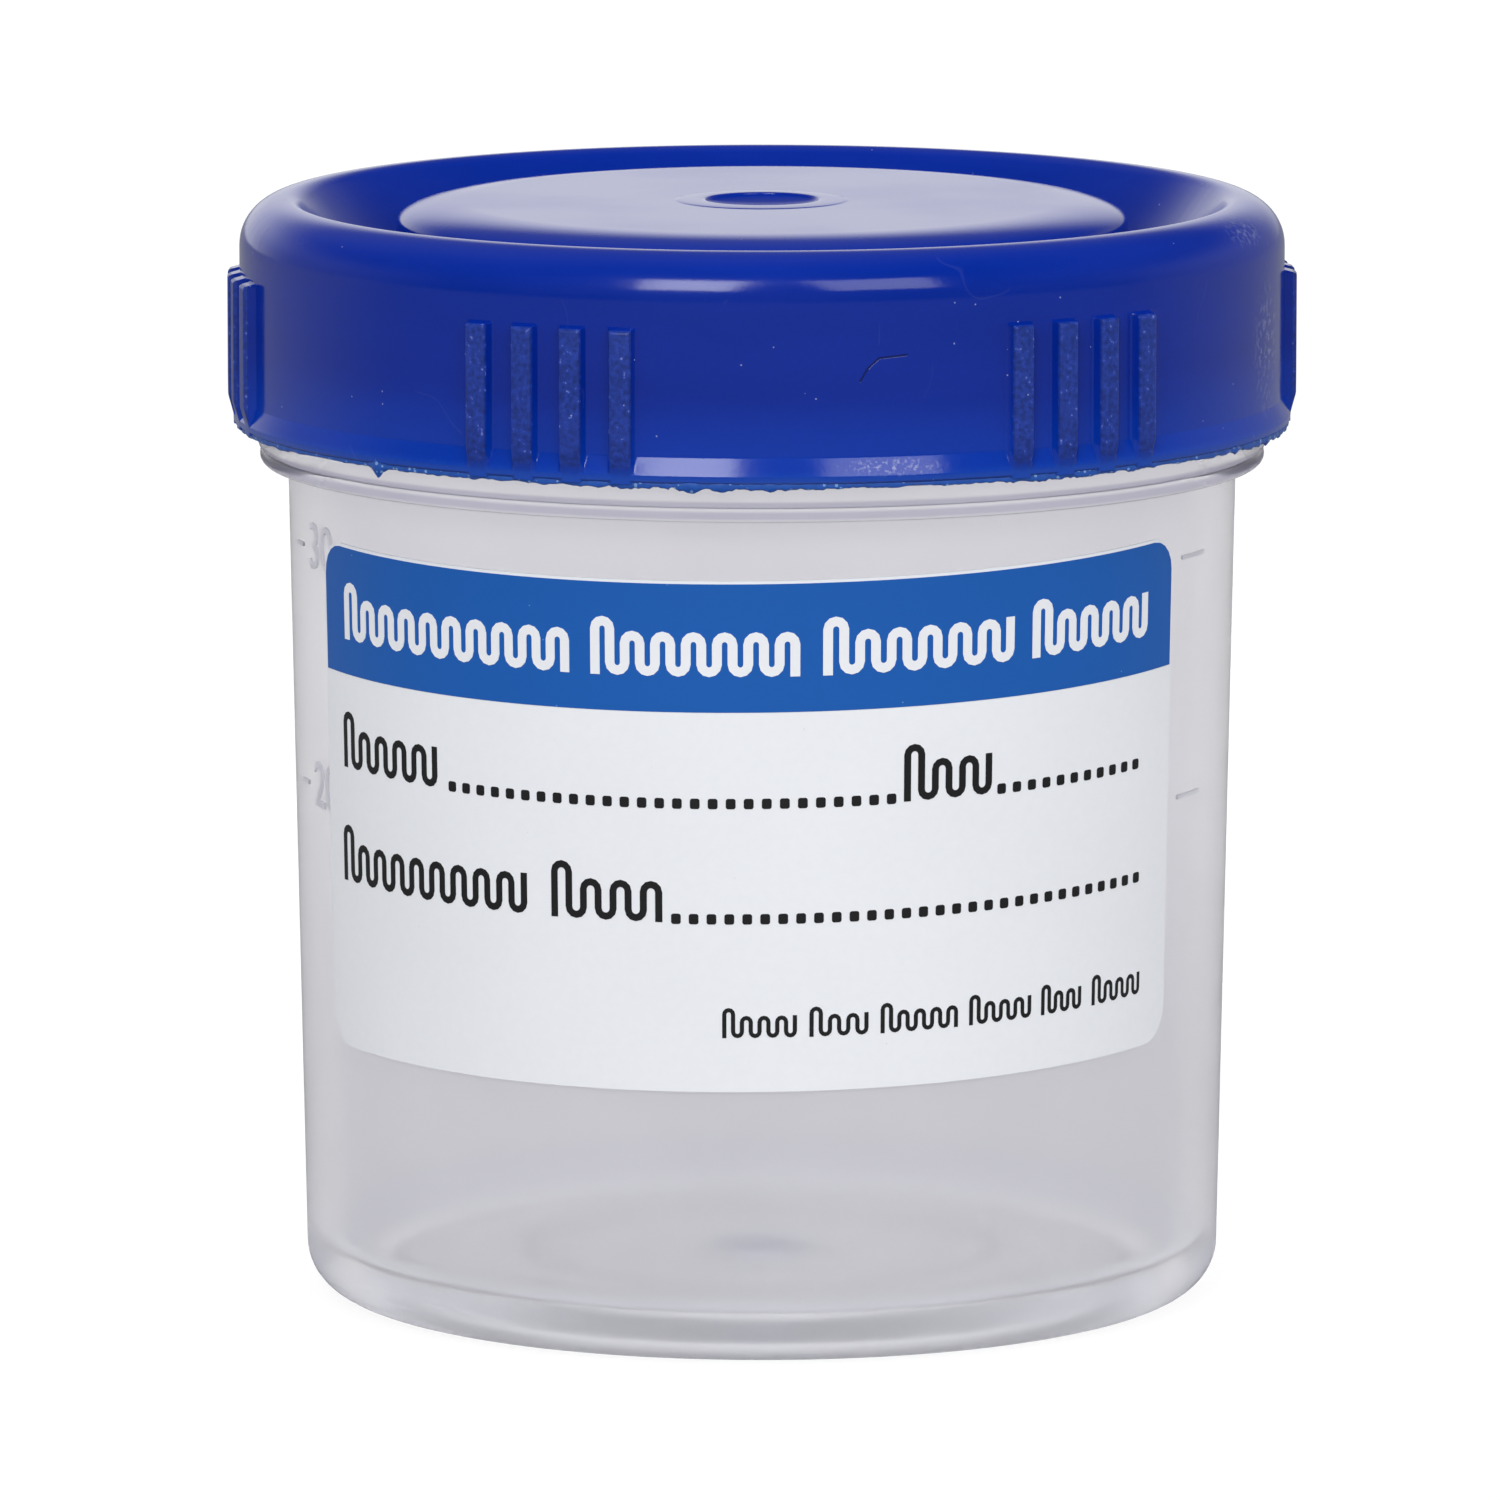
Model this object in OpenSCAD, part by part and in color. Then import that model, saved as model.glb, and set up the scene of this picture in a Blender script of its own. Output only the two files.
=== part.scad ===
// Small specimen container: a moulded cup, its screw cap and a paper label round the front.
// Millimetres. The cup stands on z = 0 with its axis on Z, and the label faces -Y.

/* [Cup wall] */
// Height of the wall, from the table to the underside of the flange
wall_h = 34.3; // [28:0.1:50]
// Outside diameter of the wall just under the flange
wall_top_d = 38.7; // [36:0.1:44]
// How much narrower in diameter the wall is where the rounded foot begins
wall_taper = 1.3; // [0.6:0.1:2.4]
// Thickness of the wall
wall_t = 1.3; // [1:0.05:1.8]

/* [Cup base] */
// Outside radius where the wall rolls into the base
foot_round = 2; // [1:0.1:3]
// Inside radius between wall and floor
floor_round = 1.4; // [0.6:0.1:2.5]
// Width of the flat ring that the cup stands on
foot_ring_w = 1.5; // [1:0.1:3]
// How far the underside is set up inside that ring
foot_recess = 0.5; // [0.3:0.05:1]
// Thickness of the floor
floor_t = 1.2; // [1:0.05:2]
// Diameter of the round step in the middle of the underside
step_d = 19.5; // [12:0.5:26]
// Height of that step
step_h = 0.25; // [0.1:0.05:0.4]
// Diameter of the gate well at the centre of the underside
well_d = 2.8; // [2:0.1:5]
// Depth of the gate well
well_h = 0.35; // [0.15:0.05:0.4]

/* [Cup neck] */
// Height of the flange that the cap closes down to
flange_h = 1.35; // [1:0.05:2.5]
// How far the flange stands out from the wall
flange_out = 1.25; // [0.8:0.05:2]
// Height of the lower of the flange's two beads
bead_h = 0.57; // [0.3:0.01:0.8]
// Depth of the fine line between the two beads
bead_line = 0.2; // [0.1:0.05:0.4]
// How far the neck is set in from the wall
neck_step = 0.2; // [0:0.05:0.4]
// Thickness of the neck
neck_t = 1.15; // [0.9:0.05:1.4]
// Height of the neck above the flange
neck_h = 6.45; // [6:0.05:12]
// Depth of the straight bore in the mouth, where the cap seals
seal_land = 4; // [3:0.1:5.5]
// Rounding of the mouth's two edges
mouth_round = 0.3; // [0.1:0.05:0.4]

/* [Cap] */
// Thickness of the cap's skirt
skirt_t = 1.3; // [1:0.05:2]
// Height of the cap's rim above the mouth of the cup
rim_t = 2.8; // [2.4:0.05:3.5]
// Radius of the cap's outer shoulder
shoulder_round = 1.9; // [1.4:0.1:2.2]
// Rounding of the rim's inner lip
lip_round = 0.75; // [0.4:0.05:1.1]
// Diameter of the raised disc in the middle of the cap
disc_d = 29.8; // [24:0.1:30.6]
// How far the disc lies below the crest of the rim
disc_drop = 0.15; // [0:0.05:0.6]
// Width over which the disc's edge rounds off
disc_edge_w = 2.8; // [1:0.1:5]
// Height of the disc's rounded edge
disc_edge_h = 0.85; // [0.3:0.05:1]
// Thickness of the disc
disc_t = 1.3; // [1:0.05:2]
// Depth of the groove round the disc, below the crest of the rim
groove_h = 3.2; // [2.8:0.1:4]
// Rounding at the bottom of the groove
groove_round = 0.4; // [0.2:0.05:0.6]
// Diameter of the gate dimple in the middle of the disc
dimple_d = 4.6; // [2:0.1:8]
// Depth of the gate dimple
dimple_h = 0.4; // [0.2:0.05:0.7]
// How far the skirt flares out at its foot
flare_out = 0.27; // [0.1:0.01:0.28]
// Height of the flared part
flare_h = 0.75; // [0.3:0.05:1.5]
// Height of the straight band under the flare
flare_band = 0.45; // [0.42:0.01:1]
// Bevel along the skirt's lower edge
skirt_bevel = 0.25; // [0.1:0.05:0.4]

/* [Seal plug] */
// Thickness of the plug between the groove and the bore
plug_wall = 1.05; // [0.8:0.05:1.3]
// Thickness of the plug under the groove
plug_floor = 1.1; // [0.8:0.05:1.6]
// Lead-in bevel round the plug's lower edge
plug_bevel = 0.4; // [0.2:0.05:0.6]

/* [Grip ribs] */
// Groups of ribs round the cap
rib_groups = 6; // [3:1:8]
// Ribs in each group
ribs_per_group = 4; // [2:1:5]
// Angle from one rib to the next
rib_pitch = 5.5; // [5:0.1:8]
// Angle of the first group from the front
rib_phase = -83.3; // [-90:0.1:90]
// Width of a rib's outer face, with its two chamfers
rib_w = 0.95; // [0.6:0.05:1.2]
// How much wider each side of a rib is at its root
rib_draft = 0.1; // [0.05:0.01:0.15]
// Chamfer along a rib's two outer edges
rib_edge = 0.08; // [0.04:0.01:0.15]
// How far a rib stands out from the skirt
rib_out = 0.5; // [0.3:0.05:0.6]
// Distance of the ribs' upper ends below the crest of the rim
rib_top_drop = 2.9; // [2.4:0.05:4]
// Distance of the ribs' lower ends above the skirt's edge
rib_foot_gap = 0.1; // [0.05:0.05:1.5]
// Height of the bevel at a rib's upper end
rib_end = 0.3; // [0.1:0.05:1]

/* [Label] */
// Width of the label laid flat
label_w = 41.8; // [20:0.1:46]
// Height of the label
label_h = 20.35; // [10:0.05:24]
// Distance of the label's upper edge below the flange
label_drop = 2.6; // [1:0.1:4]
// Angle of the label's middle from the front
label_turn = -4.2; // [-90:0.1:90]
// Thickness of the label
label_t = 0.12; // [0.08:0.01:0.3]
// Radius of the label's corners
label_round = 1; // [0.5:0.1:3]

/* [Clearances] */
// Room between neck and skirt for the screw thread
thread_room = 0.85; // [0.7:0.05:1.3]
// Gap between the mouth of the cup and the cap
seat_gap = 0.1; // [0.05:0.05:0.4]
// Gap between the skirt's lower edge and the flange
skirt_gap = 0.15; // [0.1:0.05:0.6]
// Gap between the plug and the bore
seal_gap = 0.15; // [0.1:0.05:0.3]
// Thickness of the adhesive behind the label
glue_gap = 0.05; // [0.04:0.01:0.1]

/* [Hidden] */

$fn = 128;
ARC_STEPS = 8;
CLEAR_PP = [0.80, 0.80, 0.83, 0.5];
BLUE_PP = [0.13, 0.22, 0.60];
PAPER = [0.92, 0.92, 0.94];

wall_top_r = wall_top_d / 2;
wall_foot_r = wall_top_r - wall_taper / 2;
floor_z = foot_recess + floor_t;
flange_r = wall_top_r + flange_out;
flange_top = wall_h + flange_h;
neck_r = wall_top_r - neck_step;
bore_r = neck_r - neck_t;
neck_top = flange_top + neck_h;

cap_top = neck_top + seat_gap + rim_t;
cap_foot = flange_top + skirt_gap;
cap_ceiling = cap_top - rim_t;
skirt_in_r = neck_r + thread_room;
skirt_r = skirt_in_r + skirt_t;
foot_r = skirt_r + flare_out;
crest_r = skirt_r - shoulder_round;
plug_r = bore_r - seal_gap;
groove_r = plug_r - plug_wall;
disc_r = disc_d / 2;
disc_z = cap_top - disc_drop;
groove_z = cap_top - groove_h;
flank_run = crest_r - groove_r + groove_round;
flank_rise = groove_h - groove_round - lip_round;
flank = atan2(flank_rise, flank_run) + asin((groove_round + lip_round) / norm([flank_run, flank_rise]));
plug_z = groove_z - plug_floor;
hollow_r = disc_r - disc_t;

// Points of an arc round [x, y], from angle a to angle b, wider or taller if rx and ry differ
function arc(x, y, rx, ry, a, b) =
    [for (i = [0 : ARC_STEPS]) let (t = a + (b - a) * i / ARC_STEPS) [x + rx * cos(t), y + ry * sin(t)]];

// Outside radius of the cup's wall at height z
function wall_r(z) =
    wall_foot_r + (wall_top_r - wall_foot_r) * (z - foot_round) / (wall_h - foot_round);

// Half section of the cup, outside first, from the middle of the underside up to the mouth
function cup_section() = concat(
    [[0, foot_recess + step_h + well_h]],
    arc(0, foot_recess + step_h, well_d / 2, well_h, 60, 0),
    [[step_d / 2, foot_recess + step_h], [step_d / 2 + step_h, foot_recess]],
    [[wall_foot_r - foot_round - foot_ring_w - foot_recess, foot_recess]],
    [[wall_foot_r - foot_round - foot_ring_w, 0]],
    arc(wall_foot_r - foot_round, foot_round, foot_round, foot_round, -90, 0),
    [[wall_top_r, wall_h]],
    bead(flange_r - bead_line / 2, wall_h, bead_h),
    bead(flange_r, wall_h + bead_h, flange_h - bead_h),
    [[neck_r, flange_top]],
    arc(neck_r - mouth_round, neck_top - mouth_round, mouth_round, mouth_round, 0, 90),
    arc(bore_r + mouth_round, neck_top - mouth_round, mouth_round, mouth_round, 90, 180),
    [[bore_r, neck_top - seal_land], [wall_top_r - wall_t, wall_h - flange_h]],
    arc(wall_r(floor_z + floor_round) - wall_t - floor_round, floor_z + floor_round,
        floor_round, floor_round, 0, -90),
    [[0, floor_z]]
);

// One rounded bead of the flange, r out and h high, from height z
function bead(r, z, h) = arc(r - bead_line, z + h / 2, bead_line, h / 2, -90, 90);

// Half section of the disc: its gate dimple, its hollow underside and the floor of the groove round it
function disc_section() = concat(
    arc(0, disc_z, dimple_d / 2, dimple_h, -90, 0),
    arc(disc_r - disc_edge_w, disc_z - disc_edge_h, disc_edge_w, disc_edge_h, 90, 0),
    arc(disc_r + groove_round, groove_z + groove_round, groove_round, groove_round, 180, 270),
    [[groove_r, groove_z], [groove_r, plug_z]],
    [[hollow_r, plug_z], [hollow_r, disc_z - disc_t - groove_round]],
    [[hollow_r - groove_round, disc_z - disc_t], [0, disc_z - disc_t]]
);

// Half section of the rim, from the groove over the crest and down the skirt, then back up to the plug.
// The rim's inner flank is the straight line that touches the groove's rounding and the lip.
function rim_section() = concat(
    arc(groove_r - groove_round, groove_z + groove_round, groove_round, groove_round, -90, flank - 90),
    arc(crest_r, cap_top - lip_round, lip_round, lip_round, flank + 90, 90),
    arc(crest_r, cap_top - shoulder_round, shoulder_round, shoulder_round, 90, 0),
    [[skirt_r, cap_foot + flare_band + flare_h], [foot_r, cap_foot + flare_band]],
    [[foot_r, cap_foot + skirt_bevel], [foot_r - skirt_bevel, cap_foot]],
    [[skirt_in_r + skirt_bevel, cap_foot], [skirt_in_r, cap_foot + skirt_bevel]],
    [[skirt_in_r, cap_ceiling - groove_round], [skirt_in_r - groove_round, cap_ceiling]],
    [[plug_r, cap_ceiling], [plug_r, plug_z + plug_bevel], [plug_r - plug_bevel, plug_z]],
    [[groove_r - groove_round, plug_z]]
);

// Section of one rib's bar, x outwards from the skirt: drafted sides that lean together above the face
function rib_section() =
    let (root = rib_w / 2 + 3 * rib_draft, face = rib_out - rib_edge)
    [[-2 * rib_out, -root], [face, -rib_w / 2], [face + rib_w / 2, 0],
        [face, rib_w / 2], [-2 * rib_out, root]];

// The ring that all ribs lie in, which gives them their round faces and the bevel on top
module rib_ring() {
    low_z = cap_foot + rib_foot_gap;
    high_z = cap_top - rib_top_drop;
    rotate_extrude()
        polygon([[skirt_r - rib_out, low_z], [skirt_r + rib_out, low_z],
            [skirt_r + rib_out, high_z - rib_end], [skirt_r, high_z], [skirt_r - rib_out, high_z]]);
}

module grip_ribs() {
    intersection() {
        rib_ring();
        for (group = [0 : rib_groups - 1], i = [0 : ribs_per_group - 1])
            rotate([0, 0, rib_phase - 90 + group * 360 / rib_groups
                + (i - (ribs_per_group - 1) / 2) * rib_pitch])
                translate([skirt_r, 0, cap_foot - rib_out])
                    linear_extrude(height = cap_top - cap_foot)
                        polygon(rib_section());
    }
}

module container_body() {
    color(CLEAR_PP)
        rotate_extrude()
            polygon(cup_section());
}

module screw_cap() {
    color(BLUE_PP)
        union() {
            rotate_extrude()
                polygon(disc_section());
            rotate_extrude()
                polygon(rim_section());
            grip_ribs();
        }
}

// The label is cut straight, so on the tapered wall its edges lie in planes square to the wall's front
module paper_label() {
    mid_z = wall_h - label_drop - label_h / 2;
    mid_r = wall_r(mid_z) + glue_gap;
    lean = atan((wall_top_r - wall_foot_r) / (wall_h - foot_round));
    half_w = label_w / 2 - label_round;
    half_h = label_h / 2 - label_round;
    corners = [[1, 1, 0], [-1, 1, 90], [-1, -1, 180], [1, -1, 270]];
    outline = [for (c = corners)
        for (p = arc(c[0] * half_w, c[1] * half_h, label_round, label_round, c[2], c[2] + 90))
            [mid_r * sin(p[0] / mid_r * 180 / PI), p[1]]];
    color(PAPER)
        rotate([0, 0, label_turn])
            intersection() {
                difference() {
                    cylinder(h = wall_h, r1 = wall_r(0) + glue_gap + label_t,
                        r2 = wall_top_r + glue_gap + label_t);
                    translate([0, 0, -wall_h])
                        cylinder(h = 3 * wall_h, r1 = wall_r(-wall_h) + glue_gap,
                            r2 = wall_r(2 * wall_h) + glue_gap);
                }
                translate([0, 0, mid_z])
                    rotate([90 - lean, 0, 0])
                        linear_extrude(height = 2 * wall_top_r)
                            polygon(outline);
            }
}

container_body();
screw_cap();
paper_label();
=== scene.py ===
# %% [markdown]
# # A specimen container with a screw cap
# The real object is a small moulded cup of cloudy polypropylene, closed by a glossy blue screw cap,
# with a paper label stuck round its front.
# Its construction is already solid geometry, packed as a frame. This lesson dresses that frame: each
# visible piece is remade as a finer mesh in the same place, and given its finish.
# All sizes below are millimetres, because that is how a moulder would write them, and one factor
# turns them into Blender's metres.

import math

import bmesh
import bpy
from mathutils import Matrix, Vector, noise


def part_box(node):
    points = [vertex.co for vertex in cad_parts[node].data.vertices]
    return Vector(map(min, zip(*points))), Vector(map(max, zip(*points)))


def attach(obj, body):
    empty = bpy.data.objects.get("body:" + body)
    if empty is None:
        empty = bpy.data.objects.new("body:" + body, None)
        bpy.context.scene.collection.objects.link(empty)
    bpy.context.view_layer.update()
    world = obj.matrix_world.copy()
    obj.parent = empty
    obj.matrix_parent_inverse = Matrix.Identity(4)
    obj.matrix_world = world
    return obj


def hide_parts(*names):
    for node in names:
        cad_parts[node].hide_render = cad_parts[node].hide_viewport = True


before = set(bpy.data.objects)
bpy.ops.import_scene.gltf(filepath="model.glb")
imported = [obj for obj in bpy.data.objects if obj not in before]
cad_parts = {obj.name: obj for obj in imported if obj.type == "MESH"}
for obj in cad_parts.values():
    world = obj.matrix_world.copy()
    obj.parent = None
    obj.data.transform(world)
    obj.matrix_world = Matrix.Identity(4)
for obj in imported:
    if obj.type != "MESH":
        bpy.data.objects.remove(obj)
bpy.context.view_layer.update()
MM = 0.001


def add_object(name, data):
    """Puts a new object into the scene."""
    thing = bpy.data.objects.new(name, data)
    bpy.context.scene.collection.objects.link(thing)
    return thing


cup_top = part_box("container_body")[1].z / MM
cap_foot, cap_top = (corner.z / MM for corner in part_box("screw_cap"))
print("cup top", round(cup_top, 2), "cap foot", round(cap_foot, 2), "cap top", round(cap_top, 2))

# %% [markdown]
# # The camera
# The photograph was taken from a little over half a metre with a long lens, looking slightly down.
# A long lens keeps the sides of the cup almost parallel. The camera could be aimed with a tracking
# constraint, but a fixed place and tilt are easier to read and repeat.

# %% Place the camera
SENSOR = 36.0
LENS = 348.0
LOOK_DOWN = math.radians(8.57)
DISTANCE = 594.3
AIM_HEIGHT = 22.17
AIM_SIDE = -0.49
NEAR_LIMIT = 10.0

eye = Vector((AIM_SIDE, -DISTANCE * math.cos(LOOK_DOWN), AIM_HEIGHT + DISTANCE * math.sin(LOOK_DOWN))) * MM
camera_data = bpy.data.cameras.new("camera")
camera_data.lens = LENS
camera_data.sensor_width = SENSOR
camera_data.clip_start = NEAR_LIMIT * MM
camera = add_object("camera", camera_data)
camera.location = eye
camera.rotation_euler = (math.pi / 2 - LOOK_DOWN, 0, 0)
bpy.context.scene.camera = camera
bpy.context.scene.view_settings.view_transform = "Standard"
print("camera", [round(v, 4) for v in eye])

# %% [markdown]
# # Short calls for node trees
# Every finish here is a tree of shader nodes. Writing each node and link out takes many lines, so
# small helpers do it: the first adds any node, and the others add the few kinds that every tree uses.

# %% Helpers for nodes
def put(tree, kind, inputs=None, **settings):
    """Adds one shader node. Its inputs are plain values, or the sockets that feed them."""
    node = tree.nodes.new("ShaderNode" + kind)
    for name, value in settings.items():
        setattr(node, name, value)
    for key, value in (inputs or {}).items():
        if isinstance(value, bpy.types.NodeSocket):
            tree.links.new(value, node.inputs[key])
        else:
            node.inputs[key].default_value = value
    return node


def calc(tree, operation, *values, clamp=False):
    """One Math node, and its result."""
    return put(tree, "Math", dict(enumerate(values)), operation=operation, use_clamp=clamp).outputs[0]


def times(tree, first, second):
    """The product of two values."""
    return calc(tree, "MULTIPLY", first, second)


def vector_calc(tree, operation, *values, result="Vector"):
    """One Vector Math node, and its result: the Vector or the plain Value."""
    return put(tree, "VectorMath", dict(enumerate(values)), operation=operation).outputs[result]


def scaled(tree, vector, factor):
    """A vector or a colour times a plain factor."""
    return put(tree, "VectorMath", {0: vector, 3: factor}, operation="SCALE").outputs[0]


def ramp(tree, value, low, high, to_low=0.0, to_high=1.0):
    """Runs smoothly from to_low to to_high as the value goes from low to high."""
    inputs = {"Value": value, "From Min": low, "From Max": high, "To Min": to_low, "To Max": to_high}
    return put(tree, "MapRange", inputs, interpolation_type="SMOOTHSTEP").outputs[0]


def mix_value(tree, share, first, second):
    """Goes from the first value to the second as share goes from 0 to 1."""
    return put(tree, "Mix", {0: share, 2: first, 3: second}).outputs[0]


def mix_colour(tree, share, first, second):
    """The same for two colours."""
    return put(tree, "Mix", {0: share, 6: first, 7: second}, data_type="RGBA").outputs[2]


def soft_noise(tree, position, scale, detail):
    """A soft random value from 0 to 1 that changes over the surface."""
    return put(tree, "TexNoise", {"Vector": position, "Scale": scale, "Detail": detail}).outputs[0]

# %% Helpers for groups
def new_group(name, inputs, outputs):
    """An empty node group that takes the Position and the inputs (name, kind, value), and gives values."""
    group = bpy.data.node_groups.new(name, "ShaderNodeTree")
    for label, kind, value in (("Position", "Vector", None), *inputs):
        socket = group.interface.new_socket(label, in_out="INPUT", socket_type="NodeSocket" + kind)
        if value is not None:
            socket.default_value = value
    for label in outputs:
        group.interface.new_socket(label, in_out="OUTPUT", socket_type="NodeSocketFloat")
    print("group", name)
    ends = group.nodes.new("NodeGroupInput").outputs, group.nodes.new("NodeGroupOutput").inputs
    return group, *ends


def place_group(tree, group, position, **inputs):
    """Puts a group into a tree and returns its outputs."""
    node = tree.nodes.new("ShaderNodeGroup")
    node.node_tree = group
    for key, value in {"Position": position, **inputs}.items():
        socket = node.inputs[key.replace("_", " ")]
        if isinstance(value, bpy.types.NodeSocket):
            tree.links.new(value, socket)
        else:
            socket.default_value = value
    return node.outputs

# %% [markdown]
# Every finish measures its pattern in millimetres in the object's own space, so a pattern stays on
# its piece when the cap is lifted.

# %% Helpers for finishes
def new_finish(name, **constants):
    """A material with its Principled shader, and the place on the object in millimetres."""
    material = bpy.data.materials.new(name)
    material.use_nodes = True
    tree = material.node_tree
    shader = tree.nodes["Principled BSDF"]
    for key, value in constants.items():
        shader.inputs[key.replace("_", " ")].default_value = value
    print("finish", name)
    return material, tree, shader, scaled(tree, put(tree, "TexCoord").outputs["Object"], 1 / MM)


def height_and_radius(tree, position):
    """How high a place lies, and how far from the upright axis."""
    x, y, z = put(tree, "SeparateXYZ", {0: position}).outputs
    spot = put(tree, "CombineXYZ", {0: x, 1: y}).outputs[0]
    return z, vector_calc(tree, "LENGTH", spot, result="Value")


def bump(tree, shader, height, depth, strength):
    """Raises the surface by up to depth millimetres."""
    inputs = {"Height": height, "Distance": depth * MM, "Strength": strength}
    tree.links.new(put(tree, "Bump", inputs).outputs[0], shader.inputs["Normal"])


def ray_kinds(tree):
    """1 for mirrored rays, and 1 for rays from the camera that go straight or through clear plastic."""
    path = put(tree, "LightPath").outputs
    return path["Is Glossy Ray"], calc(tree, "MAXIMUM", path["Is Camera Ray"], path["Is Transmission Ray"])

# %% [markdown]
# # The studio
# The object was photographed for a catalogue, on white. A white that comes from strong light would
# wash the label out, so the light stays plain, and the white is in the world and the floor: a Light
# Path node lets camera rays, reflections and rays through the clear plastic see it. Each fade of the
# sky is two places and the strengths there: -1 is left, in front or underneath, and 1 is opposite.

# %% World
WHITE = (1, 1, 1, 1)
AMBIENT_SIDES = (-1.0, 1.0, 1.22, 1.42)
AMBIENT_RISE = (0.1, 0.9, 1.0, 0.55)
GLOSS_DEPTH = (-0.35, 0.45, 0.05, 0.98)
GLOSS_RISE = (0.2, 0.5, 1.0, 0.15)
GLOSS_LEFT = (-0.85, -0.35, 0.25, 1.0)
GLOSS_RIGHT = (0.0, 0.45, 1.0, 0.28)

world = bpy.data.worlds.new("white_studio")
bpy.context.scene.world = world
world.use_nodes = True
sky = world.node_tree
glossy, straight = ray_kinds(sky)
sky_x, sky_y, sky_z = put(sky, "SeparateXYZ", {0: put(sky, "TexCoord").outputs["Generated"]}).outputs
mirrored = ramp(sky, sky_y, *GLOSS_DEPTH)
for axis, fade in ((sky_z, GLOSS_RISE), (sky_x, GLOSS_RIGHT), (sky_x, GLOSS_LEFT)):
    mirrored = times(sky, mirrored, ramp(sky, axis, *fade))
ambient = times(sky, ramp(sky, sky_x, *AMBIENT_SIDES), ramp(sky, sky_z, *AMBIENT_RISE))
level = mix_value(sky, straight, mix_value(sky, glossy, ambient, mirrored), 1.0)
sky.links.new(level, sky.nodes["Background"].inputs["Strength"])
sky.nodes["Background"].inputs["Color"].default_value = WHITE
print("world", world.name)

# %% [markdown]
# The floor is part grey paint and part glow. The paint takes the object's shadow.

# %% Floor
FLOOR_PAINT = 0.16
FLOOR_GLOW = 0.88
FLOOR_GLOSS = (-50.0, 150.0, 0.03, 0.15)
FLOOR_HALF = 3000.0

floor_mesh = bpy.data.meshes.new("floor")
edge = FLOOR_HALF * MM
corners = [(-edge, -edge, 0), (edge, -edge, 0), (edge, edge, 0), (-edge, edge, 0)]
floor_mesh.from_pydata(corners, [], [(0, 1, 2, 3)])
floor = add_object("floor", floor_mesh)
paint, tree, shader, position = new_finish(
    "floor_paint", Base_Color=(FLOOR_PAINT, FLOOR_PAINT, FLOOR_PAINT, 1), Roughness=1.0,
    Specular_IOR_Level=0.0, Emission_Color=WHITE)
glossy, straight = ray_kinds(tree)
floor_y = put(tree, "SeparateXYZ", {0: position}).outputs["Y"]
glow = mix_value(tree, straight, times(tree, glossy, ramp(tree, floor_y, *FLOOR_GLOSS)), FLOOR_GLOW)
tree.links.new(glow, shader.inputs["Emission Strength"])
floor.data.materials.append(paint)
print("floor", FLOOR_HALF * 2, "mm square")

# %% [markdown]
# # The softboxes
# Two pale patches on the cap's shoulder show where the lamps stood: two softboxes in front, not quite
# halfway up. Area lamps of that size and place give the same patches and light the label evenly.
# Their power is worked out from the brightness that a patch should have.

# %% Two softboxes
LAMP_DISTANCE = 1000.0
LAMP_UP = 37.0
LAMPS = {"softbox_left": (-17.0, 330.0, 430.0, 7.0), "softbox_right": (28.0, 410.0, 430.0, 2.7)}

for name, (turn, width, height, brightness) in LAMPS.items():
    data = bpy.data.lights.new(name, "AREA")
    data.shape = "RECTANGLE"
    data.size = width * MM
    data.size_y = height * MM
    data.energy = brightness * math.pi * width * height * MM * MM
    lamp = add_object(name, data)
    side = math.radians(turn)
    up = math.radians(LAMP_UP)
    away = Vector((math.sin(side) * math.cos(up), -math.cos(side) * math.cos(up), math.sin(up)))
    lamp.location = (away * LAMP_DISTANCE + Vector((0, 0, AIM_HEIGHT))) * MM
    lamp.rotation_euler = away.to_track_quat("Z", "Y").to_euler()
    lamp.visible_camera = False
    lamp.visible_transmission = False
    print(name, round(data.energy, 2), "W")

# %% [markdown]
# # Effects that several finishes share
# Moulded plastic is never one flat colour. The melt leaves soft cloudy bands, and handling leaves
# specks of dust and hairline scratches. Each effect is a node group, built once here and placed in
# the finishes with its own size and strength.
#
# The first group, moulding clouds, turns noise into a shade that wanders round 1 and a soft height.

# %% Group: moulding clouds
NOISE_MIDDLE = 0.5
CLOUD_DETAIL = 2.0

clouds, given, out = new_group(
    "moulding_clouds", [("Size", "Float", 4.0), ("Amount", "Float", 0.05)], ["Shade", "Height"])
cloud = soft_noise(clouds, given["Position"], calc(clouds, "DIVIDE", 1.0, given["Size"]), CLOUD_DETAIL)
centred = calc(clouds, "SUBTRACT", cloud, NOISE_MIDDLE)
swing = times(clouds, centred, times(clouds, given["Amount"], 2.0))
clouds.links.new(calc(clouds, "ADD", swing, 1.0), out["Shade"])
clouds.links.new(cloud, out["Height"])

# %% [markdown]
# The second group, handling marks, makes specks and scratches. A Voronoi texture puts one point in
# each cell: where the point is near and the cell's own random number is low, there is a speck. A
# scratch is the thin line where a smooth noise crosses its middle value, kept only in some patches.

# %% Group: handling marks
LINE_DETAIL = 1.0
LINE_HALF = 0.006
PATCH_FINER = 1.7

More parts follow.
